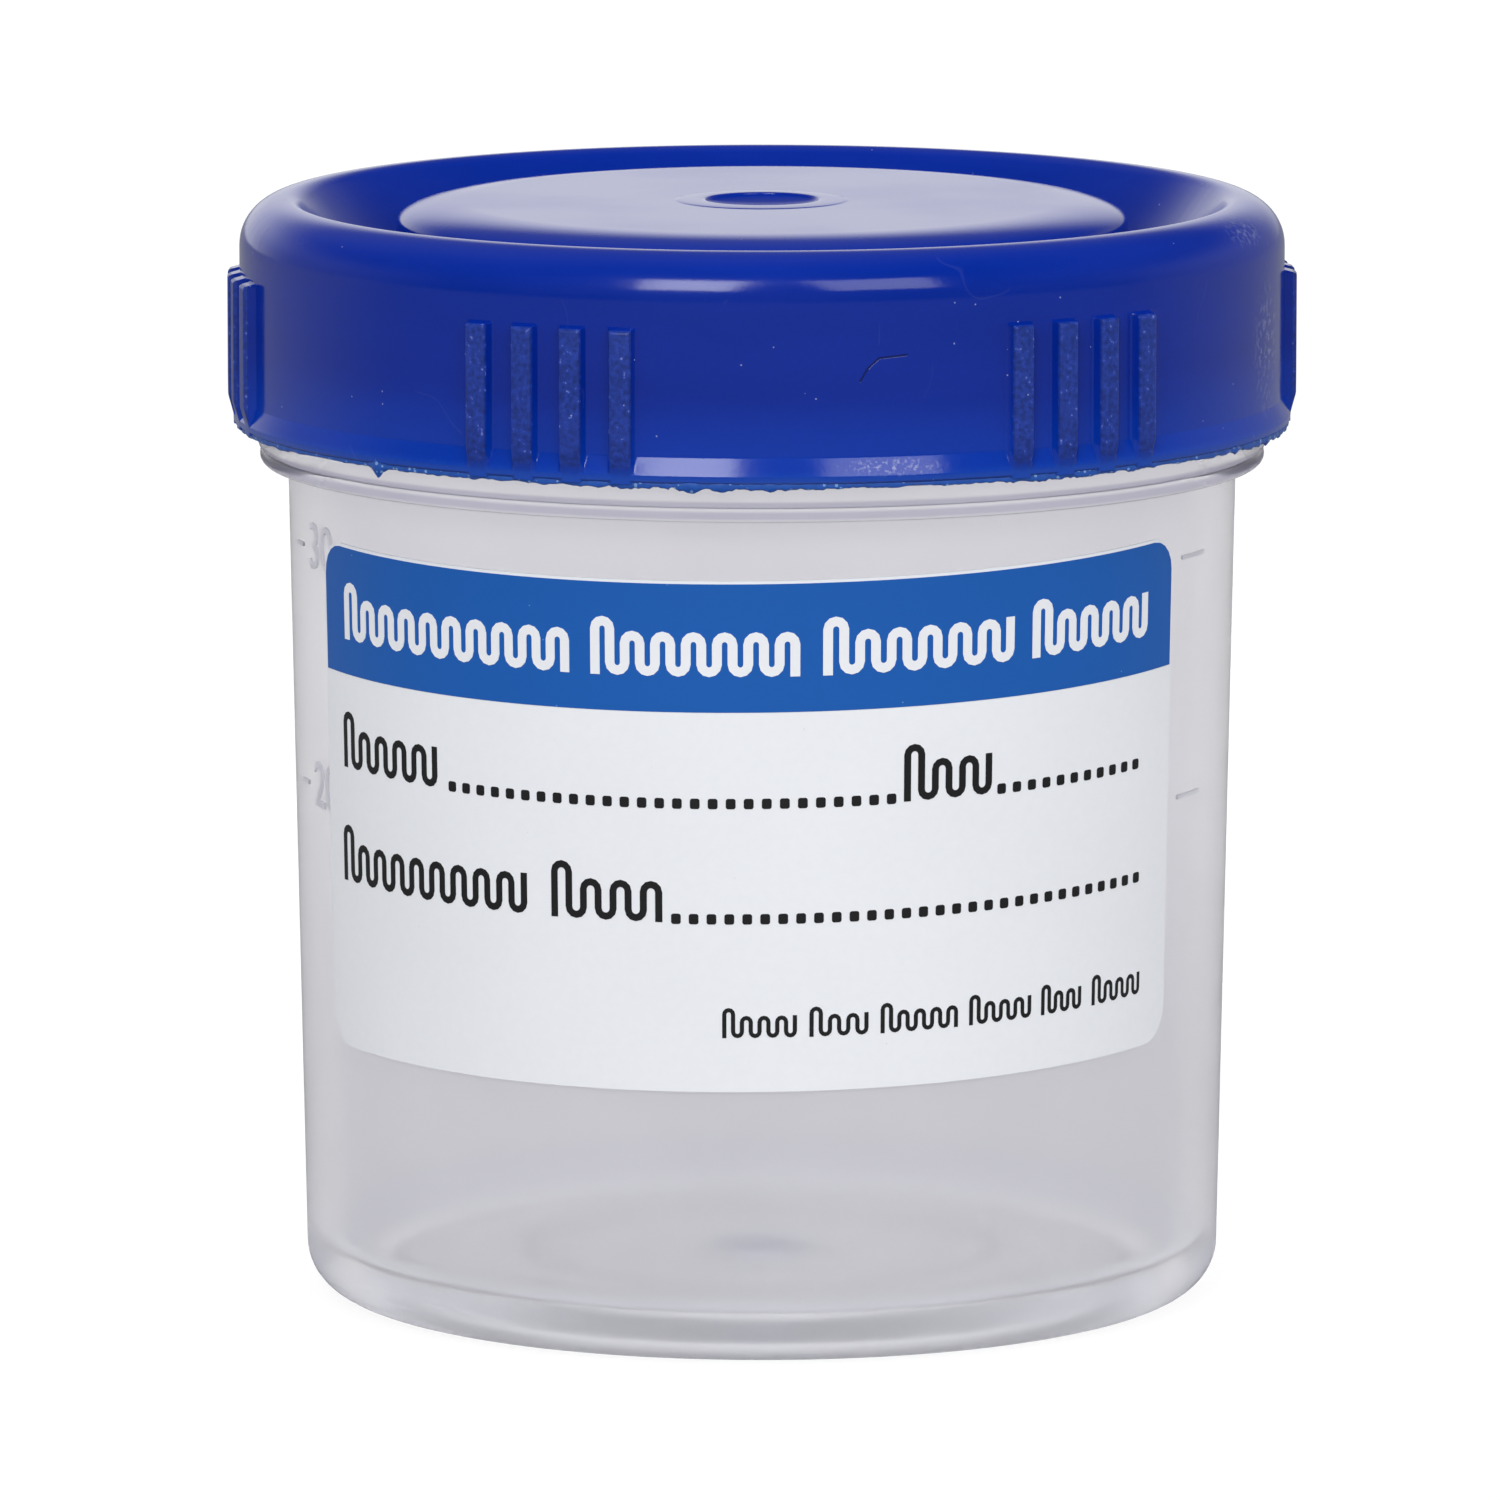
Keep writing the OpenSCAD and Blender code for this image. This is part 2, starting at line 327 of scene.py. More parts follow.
marks, given, out = new_group(
    "handling_marks",
    [("Speck Spacing", "Float", 1.0), ("Speck Size", "Float", 0.05), ("Speck Share", "Float", 0.2),
     ("Scratch Spacing", "Float", 3.0), ("Scratch Share", "Float", 0.3)],
    ["Specks", "Scratches"])
scale = calc(marks, "DIVIDE", 1.0, given["Speck Spacing"])
cell = put(marks, "TexVoronoi", {"Vector": given["Position"], "Scale": scale}).outputs
near = calc(marks, "LESS_THAN", cell["Distance"],
            calc(marks, "DIVIDE", given["Speck Size"], given["Speck Spacing"]))
chance = put(marks, "SeparateColor", {0: cell["Color"]}).outputs[0]
chosen = calc(marks, "LESS_THAN", chance, given["Speck Share"])
marks.links.new(times(marks, near, chosen), out["Specks"])
scale = calc(marks, "DIVIDE", 1.0, given["Scratch Spacing"])
line_field = soft_noise(marks, given["Position"], scale, LINE_DETAIL)
off_line = calc(marks, "ABSOLUTE", calc(marks, "SUBTRACT", line_field, NOISE_MIDDLE))
line = ramp(marks, off_line, 0.0, LINE_HALF, 1.0, 0.0)
patch_field = soft_noise(marks, given["Position"], times(marks, scale, PATCH_FINER), 0.0)
patches = calc(marks, "LESS_THAN", patch_field, given["Scratch Share"])
marks.links.new(times(marks, line, patches), out["Scratches"])

# %% [markdown]
# The third group, worn patch, roughens one place: where the cap was gripped or knocked. It fades out
# from a centre, and a fine noise breaks it up so that it looks rubbed and not painted.

# %% Group: worn patch
WORN_FADE = (0.2, 1.0)
WORN_BREAK = (0.48, 0.68)
WORN_DETAIL = 2.0

worn, given, out = new_group(
    "worn_patch",
    [("Centre", "Vector", None), ("Reach", "Vector", (1, 1, 1)), ("Grain", "Float", 0.3)],
    ["Mask"])
offset = vector_calc(worn, "SUBTRACT", given["Position"], given["Centre"])
far = vector_calc(worn, "LENGTH", vector_calc(worn, "DIVIDE", offset, given["Reach"]), result="Value")
rub = soft_noise(worn, given["Position"], calc(worn, "DIVIDE", 1.0, given["Grain"]), WORN_DETAIL)
mask = times(worn, ramp(worn, far, *WORN_FADE, 1.0, 0.0), ramp(worn, rub, *WORN_BREAK))
worn.links.new(mask, out["Mask"])

# %% [markdown]
# The last group, hairline, is one straight scratch between two places. It measures how far each point
# of the surface lies from that line. A few in a row make a bent scratch where the real one has it.

# %% Group: hairline
HAIRLINE_FADE = (0.5, 1.0)

hairline, given, out = new_group(
    "hairline",
    [("From", "Vector", None), ("To", "Vector", None), ("Width", "Float", 0.1)],
    ["Mask"])
run = vector_calc(hairline, "SUBTRACT", given["To"], given["From"])
offset = vector_calc(hairline, "SUBTRACT", given["Position"], given["From"])
along_run = vector_calc(hairline, "DOT_PRODUCT", offset, run, result="Value")
run_square = vector_calc(hairline, "DOT_PRODUCT", run, run, result="Value")
foot = scaled(hairline, run, calc(hairline, "DIVIDE", along_run, run_square, clamp=True))
away = vector_calc(hairline, "DISTANCE", offset, foot, result="Value")
half = times(hairline, given["Width"], 0.5)
mask = ramp(hairline, calc(hairline, "DIVIDE", away, half), *HAIRLINE_FADE, 1.0, 0.0)
hairline.links.new(mask, out["Mask"])

# %% [markdown]
# # Finishes
# ## Cloudy polypropylene
# The cup lets light through but not a sharp picture. It could be a clear glass filled with a
# scattering volume, but that is slow and noisy. A rough transmission does the same to the eye: what
# touches the wall stays readable and what lies behind it blurs away. A faint lavender-grey tint, met
# twice on the way through, gives the cup its tone. Light and shade are painted into that tint by
# place: painted shade on the two beads of the flange where they turn under, at the gate, in the
# floor's inner corner, round the foot and on the step ring, and painted light on the flange and the
# floor. So the first cell finds those places by height and radius. An edge is
# the two numbers between which a place fades out, and a third number is the softness of both ends.

# %% Cloudy polypropylene: places on the cup
FLANGE_EDGE = (19.6, 19.8)
BEAD_HEIGHTS = ((34.42, 34.74, 0.08), (34.86, 35.14, 0.08))
BASE_EDGE = (2.0, 2.8)
FLOOR_EDGE = (15.4, 16.6)
FOOT_EDGE = (16.6, 17.4)
GATE_EDGE = (0.8, 3.2)
RING_RADII = (9.5, 10.0, 0.2)
CORNER_HEIGHTS = (1.9, 3.0, 0.25)
CORNER_RADII = (15.9, 17.6, 0.3)


def between(tree, value, low, high, soft):
    """1 where the value lies between low and high, with soft ends."""
    rise = ramp(tree, value, low - soft, low + soft)
    return calc(tree, "SUBTRACT", rise, ramp(tree, value, high - soft, high + soft))


cloudy, tree, shader, position = new_finish("cloudy_polypropylene", IOR=1.09, Transmission_Weight=0.87)
height, radius = height_and_radius(tree, position)
on_flange = ramp(tree, radius, *FLANGE_EDGE)
beads = calc(tree, "ADD", *(between(tree, height, *band) for band in BEAD_HEIGHTS))
on_beads = times(tree, beads, on_flange)
in_base = ramp(tree, height, *BASE_EDGE, 1.0, 0.0)
on_floor = times(tree, in_base, ramp(tree, radius, *FLOOR_EDGE, 1.0, 0.0))
on_foot = times(tree, in_base, ramp(tree, radius, *FOOT_EDGE))
on_gate = times(tree, in_base, ramp(tree, radius, *GATE_EDGE, 1.0, 0.0))
on_ring = times(tree, in_base, between(tree, radius, *RING_RADII))
on_corner = times(tree, between(tree, height, *CORNER_HEIGHTS), between(tree, radius, *CORNER_RADII))

# %% Cloudy polypropylene: colour and roughness
CUP_TINT = (0.875, 0.868, 0.892)
LOW_SHADE_TINT = (0.80, 0.796, 0.826)
LOW_SHADE_RANGE = (6.0, 28.0)
# Painted light on the flange and the floor, and painted shade on the beads, the gate, the inner corner and
# the foot.
PAINTED_SHADE_AND_LIGHT_TINTS = (
    (on_flange, (0.93, 0.93, 0.945)),
    (on_beads, (0.50, 0.49, 0.61)),
    (on_floor, (0.97, 0.97, 0.98)),
    (on_gate, (0.66, 0.67, 0.79)),
    (on_corner, (0.70, 0.70, 0.74)),
    (on_foot, (0.83, 0.83, 0.90)),
)
RING_SHADE = 0.80
WALL_ROUGH = 0.28
CLEAR_ROUGH = 0.20
FOOT_ROUGH = 0.42

# The tint is darker towards the bottom of the cup: painted shade.
colour = mix_colour(tree, ramp(tree, height, *LOW_SHADE_RANGE), (*LOW_SHADE_TINT, 1), (*CUP_TINT, 1))
for mask, tint in PAINTED_SHADE_AND_LIGHT_TINTS:
    colour = mix_colour(tree, mask, colour, (*tint, 1))
haze = place_group(tree, clouds, position, Size=6.0, Amount=0.04)
# The step ring under the floor is darkened: painted shade.
shade = times(tree, haze["Shade"], ramp(tree, on_ring, 0.0, 1.0, 1.0, RING_SHADE))
tree.links.new(scaled(tree, colour, shade), shader.inputs["Base Color"])
clear = calc(tree, "MAXIMUM", on_floor, on_flange)
rough = calc(tree, "ADD", WALL_ROUGH, times(tree, clear, CLEAR_ROUGH - WALL_ROUGH))
rough = calc(tree, "ADD", rough, times(tree, on_foot, FOOT_ROUGH - WALL_ROUGH))
tree.links.new(rough, shader.inputs["Roughness"])
print(len(tree.nodes), "nodes in all")

# %% [markdown]
# The volume marks are raised in the same plastic. They get a finish of their own that is greyer and
# lets less light through: painted shade, so that the low marks show as grey figures.

# %% Finish: raised marks
MARK_SHADE_TINT = (0.80, 0.80, 0.84)

shaded_marks, tree, shader, position = new_finish(
    "shaded_mark_polypropylene", Roughness=0.3, IOR=1.12, Transmission_Weight=0.85)
haze = place_group(tree, clouds, position, Size=1.2, Amount=0.12)
# The grey tint of the marks is painted shade.
tree.links.new(scaled(tree, MARK_SHADE_TINT, haze["Shade"]), shader.inputs["Base Color"])

# %% [markdown]
# ## Blue polypropylene
# The cap is solid colour, glossy, with a soft sheen. Seen along its top it turns almost white,
# because any smooth surface mirrors its surroundings at a shallow angle, and the shader's own Fresnel
# does that. Its lower part is painted lighter, as painted light thrown up by the white floor, and its
# edge is paler still, where the mould closed. The faces of the ribs are lighter, partly chalky wear and
# partly painted sheen, and have a fine chalky grain.

# %% Blue polypropylene: moulded colour and painted light
CAP_BLUE = (0.0008, 0.0205, 0.285)
CAP_FLOOR_LIGHT = (0.001, 0.034, 0.365)
CAP_RIB_CHALK_AND_SHEEN = (0.010, 0.036, 0.280)
CAP_PALE = (0.010, 0.062, 0.39)
CAP_FOOT = 35.8
FLOOR_LIGHT_FADE = (CAP_FOOT + 1.0, CAP_FOOT + 4.0)
PALE_FADE = (CAP_FOOT + 0.35, CAP_FOOT + 0.9)
PALE_WANDER = 0.3
PALE_STRENGTH = 0.85
RIB_FACE_R = 21.7
RIB_FACE_SOFT = 0.12
RIB_GRAIN = (0.2, 0.8, 0.65, 1.35)
BAND_STRETCH = 6.0

blue, tree, shader, position = new_finish("blue_polypropylene", IOR=1.5)
height, radius = height_and_radius(tree, position)
stretched = put(tree, "Mapping", {"Vector": position, "Scale": (1.0, 1.0, BAND_STRETCH)}).outputs[0]
bands = place_group(tree, clouds, stretched, Size=8.0, Amount=0.10)
fine = place_group(tree, clouds, position, Size=0.2, Amount=0.06)
on_rib = ramp(tree, radius, RIB_FACE_R - RIB_FACE_SOFT, RIB_FACE_R)
# Towards the foot the blue is painted lighter: painted light from the white floor below.
colour = mix_colour(tree, ramp(tree, height, *FLOOR_LIGHT_FADE, 1.0, 0.0), (*CAP_BLUE, 1), (*CAP_FLOOR_LIGHT, 1))
# The rib faces are lighter: partly chalky wear, partly painted sheen.
colour = mix_colour(tree, on_rib, colour, (*CAP_RIB_CHALK_AND_SHEEN, 1))
shade = mix_value(tree, on_rib, fine["Shade"], ramp(tree, fine["Height"], *RIB_GRAIN))
colour = scaled(tree, colour, times(tree, bands["Shade"], shade))
wandering = calc(tree, "ADD", height, times(tree, fine["Height"], PALE_WANDER))
pale = times(tree, ramp(tree, wandering, *PALE_FADE, 1.0, 0.0), PALE_STRENGTH)
colour = mix_colour(tree, pale, colour, (*CAP_PALE, 1))

# %% [markdown]
# Use has left dust, chalky ribs, three rubbed places and a bent scratch. All but the scratch are
# lighter than the plastic, and the strongest of them counts at each point.

# %% Blue polypropylene: marks of use
CAP_SCUFF = (0.30, 0.34, 0.58)
WORN_PLACES = (
    ((20.4, -6.0, 39.6), (1.5, 2.6, 3.4), 0.30, 0.40),
    ((5.2, -20.8, 36.6), (3.0, 1.4, 0.45), 0.16, 0.80),
    ((19.4, -7.4, 44.4), (1.6, 2.4, 0.8), 0.25, 0.30),
)
SPECKS = 0.8
CHALK = 0.5
CHALK_FROM = (0.66, 0.76)
LINES = 0.03
SCRATCH = ((3.85, -20.95, 40.0), (4.15, -20.89, 40.5), (4.6, -20.8, 40.9), (5.7, -20.52, 41.0))
SCRATCH_W = 0.11
SCRATCH_DARK = 0.6

dust = place_group(tree, marks, position, Speck_Spacing=0.42, Speck_Size=0.035, Speck_Share=0.07,
                   Scratch_Spacing=4.5, Scratch_Share=0.30)
rubbed = 0.0
for centre, reach, grain, strength in WORN_PLACES:
    mask = place_group(tree, worn, position, Centre=centre, Reach=reach, Grain=grain)["Mask"]
    rubbed = calc(tree, "MAXIMUM", rubbed, times(tree, mask, strength))
chalk = times(tree, on_rib, ramp(tree, fine["Height"], *CHALK_FROM))
light_marks = rubbed
for mask, strength in ((dust["Specks"], SPECKS), (chalk, CHALK), (dust["Scratches"], LINES)):
    light_marks = calc(tree, "MAXIMUM", light_marks, times(tree, mask, strength))
colour = mix_colour(tree, light_marks, colour, (*CAP_SCUFF, 1))
cut = 0.0
for start, end in zip(SCRATCH, SCRATCH[1:]):
    line = place_group(tree, hairline, position, From=start, To=end, Width=SCRATCH_W)["Mask"]
    cut = calc(tree, "MAXIMUM", cut, line)
colour = scaled(tree, colour, calc(tree, "SUBTRACT", 1.0, times(tree, cut, SCRATCH_DARK)))
tree.links.new(colour, shader.inputs["Base Color"])
print(len(WORN_PLACES), "rubbed places")

# %% Blue polypropylene: gloss and relief
GLOSS_BANDS = (0.3, 0.7, 0.12, 0.17)
DULL_ROUGH = 0.17
GRAIN_RELIEF = 0.35
SCRATCH_RELIEF = 2.0

gloss = ramp(tree, bands["Height"], *GLOSS_BANDS)
dull = times(tree, calc(tree, "MAXIMUM", rubbed, on_rib), DULL_ROUGH)
tree.links.new(calc(tree, "ADD", gloss, dull), shader.inputs["Roughness"])
raised = times(tree, fine["Height"], GRAIN_RELIEF)
relief = calc(tree, "SUBTRACT", raised, times(tree, cut, SCRATCH_RELIEF))
bump(tree, shader, relief, depth=0.012, strength=0.5)
print(len(tree.nodes), "nodes in all")

# %% [markdown]
# ## Torn flash
# Along the lower edge the plastic is torn, so it is paler, dull and speckled.

# %% Finish: torn flash
FLASH_BLUE = (0.012, 0.085, 0.42)
FLASH_FLECK = (0.30, 0.52, 0.80)
FLECK_STRENGTH = 0.6

torn, tree, shader, position = new_finish("torn_polypropylene", Roughness=0.4, IOR=1.5)
flecks = place_group(tree, marks, position, Speck_Spacing=0.22, Speck_Size=0.07, Speck_Share=0.35)
grain = place_group(tree, clouds, position, Size=0.25, Amount=0.3)
flecked = times(tree, flecks["Specks"], FLECK_STRENGTH)
colour = mix_colour(tree, flecked, (*FLASH_BLUE, 1), (*FLASH_FLECK, 1))
tree.links.new(scaled(tree, colour, grain["Shade"]), shader.inputs["Base Color"])
bump(tree, shader, grain["Height"], depth=0.03, strength=0.8)

# %% [markdown]
# ## Label paper and inks
# The label is coated paper: white, slightly cool, with a faint fibre. The inks lie on it as very thin
# layers, with small misses where the paper shows through, as on any cheap print.

# %% Finishes: paper and inks
PAPER = (0.865, 0.885, 0.93)
PAPER_SPECK = (0.62, 0.60, 0.64)
BLUE_INK = (0.0025, 0.106, 0.455)
BLUE_MISS = (0.25, 0.45, 0.80)
BLACK_INK = (0.012, 0.012, 0.014)
BLACK_MISS = (0.10, 0.10, 0.11)
MISS_STRENGTH = 0.6


def paper_finish(name, colour, miss_colour, miss, roughness=0.5):
    """Paper, or ink on paper, with a fibre and small misses in the print."""
    material, tree, shader, position = new_finish(name, Roughness=roughness, IOR=1.45)
    fibre = place_group(tree, clouds, position, Size=0.35, Amount=0.02)
    broad = place_group(tree, clouds, position, Size=7.0, Amount=0.025)
    dots = place_group(tree, marks, position, Speck_Spacing=0.55, Speck_Size=0.03, Speck_Share=miss)
    toned = scaled(tree, colour, times(tree, fibre["Shade"], broad["Shade"]))
    missed = times(tree, dots["Specks"], MISS_STRENGTH)
    tree.links.new(mix_colour(tree, missed, toned, (*miss_colour, 1)), shader.inputs["Base Color"])
    bump(tree, shader, fibre["Height"], depth=0.006, strength=0.5)
    return material


paper = paper_finish("label_paper", PAPER, PAPER_SPECK, 0.04)
blue_ink = paper_finish("blue_ink", BLUE_INK, BLUE_MISS, 0.16, roughness=0.42)
white_ink = paper_finish("unprinted_white", PAPER, PAPER, 0.0)
black_ink = paper_finish("black_ink", BLACK_INK, BLACK_MISS, 0.06)

# %% [markdown]
# # Turned shapes
# Cup and cap are round, so each is one outline turned about the vertical axis, as its mould was. A
# Screw modifier on a curve could do it, but then the thread and the ribs would need boolean cuts.
# Turning the outline in code lets a small rule push each point out where a rib or thread passes, so
# the whole moulding stays one clean closed skin.

# %% Helpers for outlines
ARC_STEPS = 8
SUPPORT = 0.09
TINY = 1e-6


def arc(r, z, wide, high, start, end, steps=ARC_STEPS):
    """Points on an elliptical arc round (r, z), with angles in degrees."""
    turns = [math.radians(start + (end - start) * i / steps) for i in range(steps + 1)]
    return [(r + wide * math.cos(t), z + high * math.sin(t)) for t in turns]


def filled(outline, step):
    """The outline with extra points on its long straight stretches, so that light falls evenly."""
    points = [outline[0]]
    for start, end in zip(outline, outline[1:]):
        run = math.dist(start, end)
        if run < TINY:
            continue
        stops = []
        if run > 4 * SUPPORT:
            stops = [SUPPORT / run, 1 - SUPPORT / run]
            count = math.ceil(run / step)
            stops[1:1] = [i / count for i in range(1, count) if SUPPORT < run * i / count < run - SUPPORT]
        for t in [*stops, 1.0]:
            points.append((start[0] + (end[0] - start[0]) * t, start[1] + (end[1] - start[1]) * t))
    return points

# %% Helpers: from an outline to a piece
SHARP = math.radians(38)


def finish_mesh(name, mesh, material):
    """Smooths a mesh, points its faces outwards and makes an object of it."""
    work = bmesh.new()
    work.from_mesh(mesh)
    bmesh.ops.recalc_face_normals(work, faces=work.faces)
    work.to_mesh(mesh)
    work.free()
    mesh.shade_smooth()
    mesh.set_sharp_from_angle(angle=SHARP)
    mesh.materials.append(material)
    print(name, len(mesh.polygons), "faces")
    return add_object(name, mesh)


def turned(name, outline, columns, material, shape):
    """Turns an outline that starts and ends on the axis. shape(r, z, angle) is a point's true radius."""
    points, rings = [], []
    for r, z in outline:
        if r < TINY:
            rings.append([len(points)])
            points.append((0, 0, z * MM))
            continue
        rings.append(range(len(points), len(points) + len(columns)))
        for angle in columns:
            true_r = shape(r, z, angle)
            turn = math.radians(angle)
            points.append((true_r * math.cos(turn) * MM, true_r * math.sin(turn) * MM, z * MM))
    faces = []
    count = len(columns)
    for low, high in zip(rings, rings[1:]):
        for i in range(count):
            j = (i + 1) % count
            if len(low) == 1:
                faces.append((low[0], high[i], high[j]))
            elif len(high) == 1:
                faces.append((low[i], high[0], low[j]))
            else:
                faces.append((low[i], high[i], high[j], low[j]))
    mesh = bpy.data.meshes.new(name)
    mesh.from_pydata(points, [], faces)
    return finish_mesh(name, mesh, material)

# %% [markdown]
# # The screw thread
# The neck carries a raised thread, and the cap has the matching one inside, half a turn's rise lower,
# so that it hooks under. A thread could be a swept curve joined on, but it has to melt into the wall
# and run out at both ends, as a moulded one does. So it is a rule: how far the wall stands out at a
# given height and angle.

# %% Thread rule
THREAD_PITCH = 2.6
THREAD_TURNS = 1.4
THREAD_FOOT = 0.52
THREAD_CREST = 0.22
THREAD_RUN_OUT = 0.07


def smooth(t):
    """0 to 1 with a soft start and end."""
    t = max(0.0, min(1.0, t))
    return t * t * (3 - 2 * t)


def thread(z, angle, start, depth):
    """How far a right-hand thread that starts at height start stands out."""
    best = 0.0
    for lap in range(math.ceil(THREAD_TURNS) + 1):
        turn = (angle % 360) / 360 + lap
        if turn > THREAD_TURNS:
            continue
        off = abs(z - start - THREAD_PITCH * turn)
        ends = smooth(min(turn, THREAD_TURNS - turn) / THREAD_RUN_OUT)
        best = max(best, depth * ends * smooth((THREAD_FOOT - off) / (THREAD_FOOT - THREAD_CREST)))
    return best

# %% [markdown]
# # The cup
# A tapered wall, a flange that stops the cap, and the threaded neck above it. Under the floor is a
# foot ring, a shallow step and the small well where the plastic was fed in. They show through the
# wall as soft rings, so the floor has its true section on both sides.

# %% Cup sizes
WALL_H = 34.3
WALL_TOP_R = 19.35
WALL_FOOT_R = 18.7
WALL_T = 1.3
FOOT_ROUND = 2.0
FOOT_RING_W = 1.5
FOOT_RECESS = 0.5
FLOOR_T = 1.2
FLOOR_ROUND = 1.4
STEP_R = 9.75
STEP_H = 0.25
WELL_R = 1.4
WELL_H = 0.35
FLANGE_H = 1.35
FLANGE_R = 20.6
BEAD_H = 0.57
BEAD_LINE = 0.2
NECK_R = 19.15
BORE_R = 18.0
NECK_TOP = 42.1
SEAL_LAND = 4.0
MOUTH_ROUND = 0.3
FLANGE_TOP = WALL_H + FLANGE_H
FLOOR_Z = FOOT_RECESS + FLOOR_T
NECK_THREAD_START = 37.3
NECK_THREAD_DEPTH = 0.6
CUP_STEP = 1.2
NECK_STEP = 0.16
CUP_COLUMN_COUNT = 216


def wall_r(z):
    """Outside radius of the cup's wall at height z."""
    return WALL_FOOT_R + (WALL_TOP_R - WALL_FOOT_R) * (z - FOOT_ROUND) / (WALL_H - FOOT_ROUND)


print("floor", FLOOR_Z, "mm up, bore", 2 * BORE_R, "mm wide")

# %% Build the cup
def bead(r, z, height):
    """A rounded edge of the flange."""
    return arc(r - BEAD_LINE, z + height / 2, BEAD_LINE, height / 2, -90, 90)


well_z = FOOT_RECESS + STEP_H
foot_in = WALL_FOOT_R - FOOT_ROUND - FOOT_RING_W
underside = arc(0, well_z, WELL_R, WELL_H, 90, 0) + [
    (STEP_R, well_z), (STEP_R + STEP_H, FOOT_RECESS), (foot_in - FOOT_RECESS, FOOT_RECESS), (foot_in, 0)]
outside = arc(WALL_FOOT_R - FOOT_ROUND, FOOT_ROUND, FOOT_ROUND, FOOT_ROUND, -90, 0, steps=14)
outside.append((WALL_TOP_R, WALL_H))
flange = bead(FLANGE_R - BEAD_LINE / 2, WALL_H, BEAD_H) + bead(FLANGE_R, WALL_H + BEAD_H, FLANGE_H - BEAD_H)
neck = [(NECK_R, FLANGE_TOP), (NECK_R, NECK_TOP - MOUTH_ROUND)]
mouth = (arc(NECK_R - MOUTH_ROUND, NECK_TOP - MOUTH_ROUND, MOUTH_ROUND, MOUTH_ROUND, 0, 90)
         + arc(BORE_R + MOUTH_ROUND, NECK_TOP - MOUTH_ROUND, MOUTH_ROUND, MOUTH_ROUND, 90, 180))
inside_r = wall_r(FLOOR_Z + FLOOR_ROUND) - WALL_T - FLOOR_ROUND
inside = [(BORE_R, NECK_TOP - SEAL_LAND), (WALL_TOP_R - WALL_T, WALL_H - FLANGE_H),
          *arc(inside_r, FLOOR_Z + FLOOR_ROUND, FLOOR_ROUND, FLOOR_ROUND, 0, -90, steps=12), (0, FLOOR_Z)]
cup_outline = (filled(underside + outside + flange, CUP_STEP) + filled(flange[-1:] + neck, NECK_STEP)[1:]
               + filled(neck[-1:] + mouth + inside, CUP_STEP)[1:])


def cup_shape(r, z, angle):
    """The radius with the thread added to the outside of the neck."""
    if abs(r - NECK_R) < TINY and FLANGE_TOP < z < NECK_TOP - MOUTH_ROUND:
        return r + thread(z, angle, NECK_THREAD_START, NECK_THREAD_DEPTH)
    return r


cup_columns = [360 * i / CUP_COLUMN_COUNT for i in range(CUP_COLUMN_COUNT)]
cup = turned("cup", cup_outline, cup_columns, cloudy, cup_shape)
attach(cup, "container")
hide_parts("container_body")

# %% [markdown]
# # The cap
# One moulding again: a dished disc with the gate's dimple, a deep groove, the rolled rim, the skirt
# and, underneath, the plug that seals the mouth of the cup. Six groups of four ribs give the fingers
# a hold. The ribs need fine columns and the plain skirt between them doesn't, so the columns are
# crowded at the ribs only.

# %% Cap sizes
CAP_TOP = 45.0
CAP_CEILING = 42.2
SKIRT_R = 21.3
SKIRT_IN_R = 20.0
SKIRT_BEVEL = 0.25
CREST_R = 19.4
SHOULDER_ROUND = 1.9
LIP_ROUND = 0.75
GROOVE_H = 3.2
GROOVE_R = 16.8
GROOVE_ROUND = 0.4
DISC_R = 14.9
DISC_Z = 44.85
DISC_EDGE_W = 2.8
DISC_EDGE_H = 0.85
DISC_T = 1.3
DIMPLE_R = 2.3
DIMPLE_H = 0.4
LIP_H = 0.05
LIP_IN_W = 0.2
LIP_OUT_W = 1.0
PLUG_R = 17.85
PLUG_Z = 40.7
PLUG_BEVEL = 0.4
HOLLOW_R = 13.6
CAP_THREAD_DEPTH = 0.65
CAP_THREAD_START = 36.7
CAP_THREAD_TURN = 360 * (CAP_THREAD_START - NECK_THREAD_START + THREAD_PITCH / 2) / THREAD_PITCH
FLARE_OUT = 0.27
FLARE_H = 0.75
FLARE_BAND = 0.45
CAP_STEP = 1.5
CAP_THREAD_STEP = 0.18
print("cap thread turned by", round(CAP_THREAD_TURN, 1), "degrees to mesh with the neck's")

# %% Rib sizes
RIB_GROUPS = 6
RIBS_PER_GROUP = 4
RIB_PITCH = 5.5
RIB_PHASE = -83.3
RIB_OUT = 0.5
RIB_TOP = 42.1
RIB_FOOT = 35.9
RIB_FADE_LOW = 36.1
RIB_FADE_HIGH = 37.2
RIB_ACROSS = ((0.0, 1.0), (0.2, 1.0), (0.32, 1.0), (0.38, 0.97), (0.42, 0.89), (0.445, 0.76), (0.53, 0.09),
              (0.57, 0.02), (0.63, 0.0))
RIB_END = ((0.0, 0.0), (0.03, 0.20), (0.09, 0.66), (0.14, 0.90), (0.19, 0.98), (0.26, 1.0))
PLAIN_SPACING = 2.2
print(RIB_GROUPS * RIBS_PER_GROUP, "ribs")

# %% Where the ribs stand
rib_angles = [
    RIB_PHASE - 90 + group * 360 / RIB_GROUPS + (i - (RIBS_PER_GROUP - 1) / 2) * RIB_PITCH
    for group in range(RIB_GROUPS) for i in range(RIBS_PER_GROUP)]


def rib_columns(spacing):
    """Angles of the columns: crowded at each rib, and spaced out between the ribs."""
    fine = set()
    for angle in rib_angles:
        for stop, _ in RIB_ACROSS:
            reach = math.degrees(stop / SKIRT_R)
            fine.update((round((angle + reach) % 360, 4), round((angle - reach) % 360, 4)))
    fine = sorted(fine)
    columns = list(fine)
    for start, end in zip(fine, fine[1:] + [fine[0] + 360]):
        count = math.ceil((end - start) / spacing)
        columns.extend((start + (end - start) * i / count) % 360 for i in range(1, count))
    return sorted(columns)


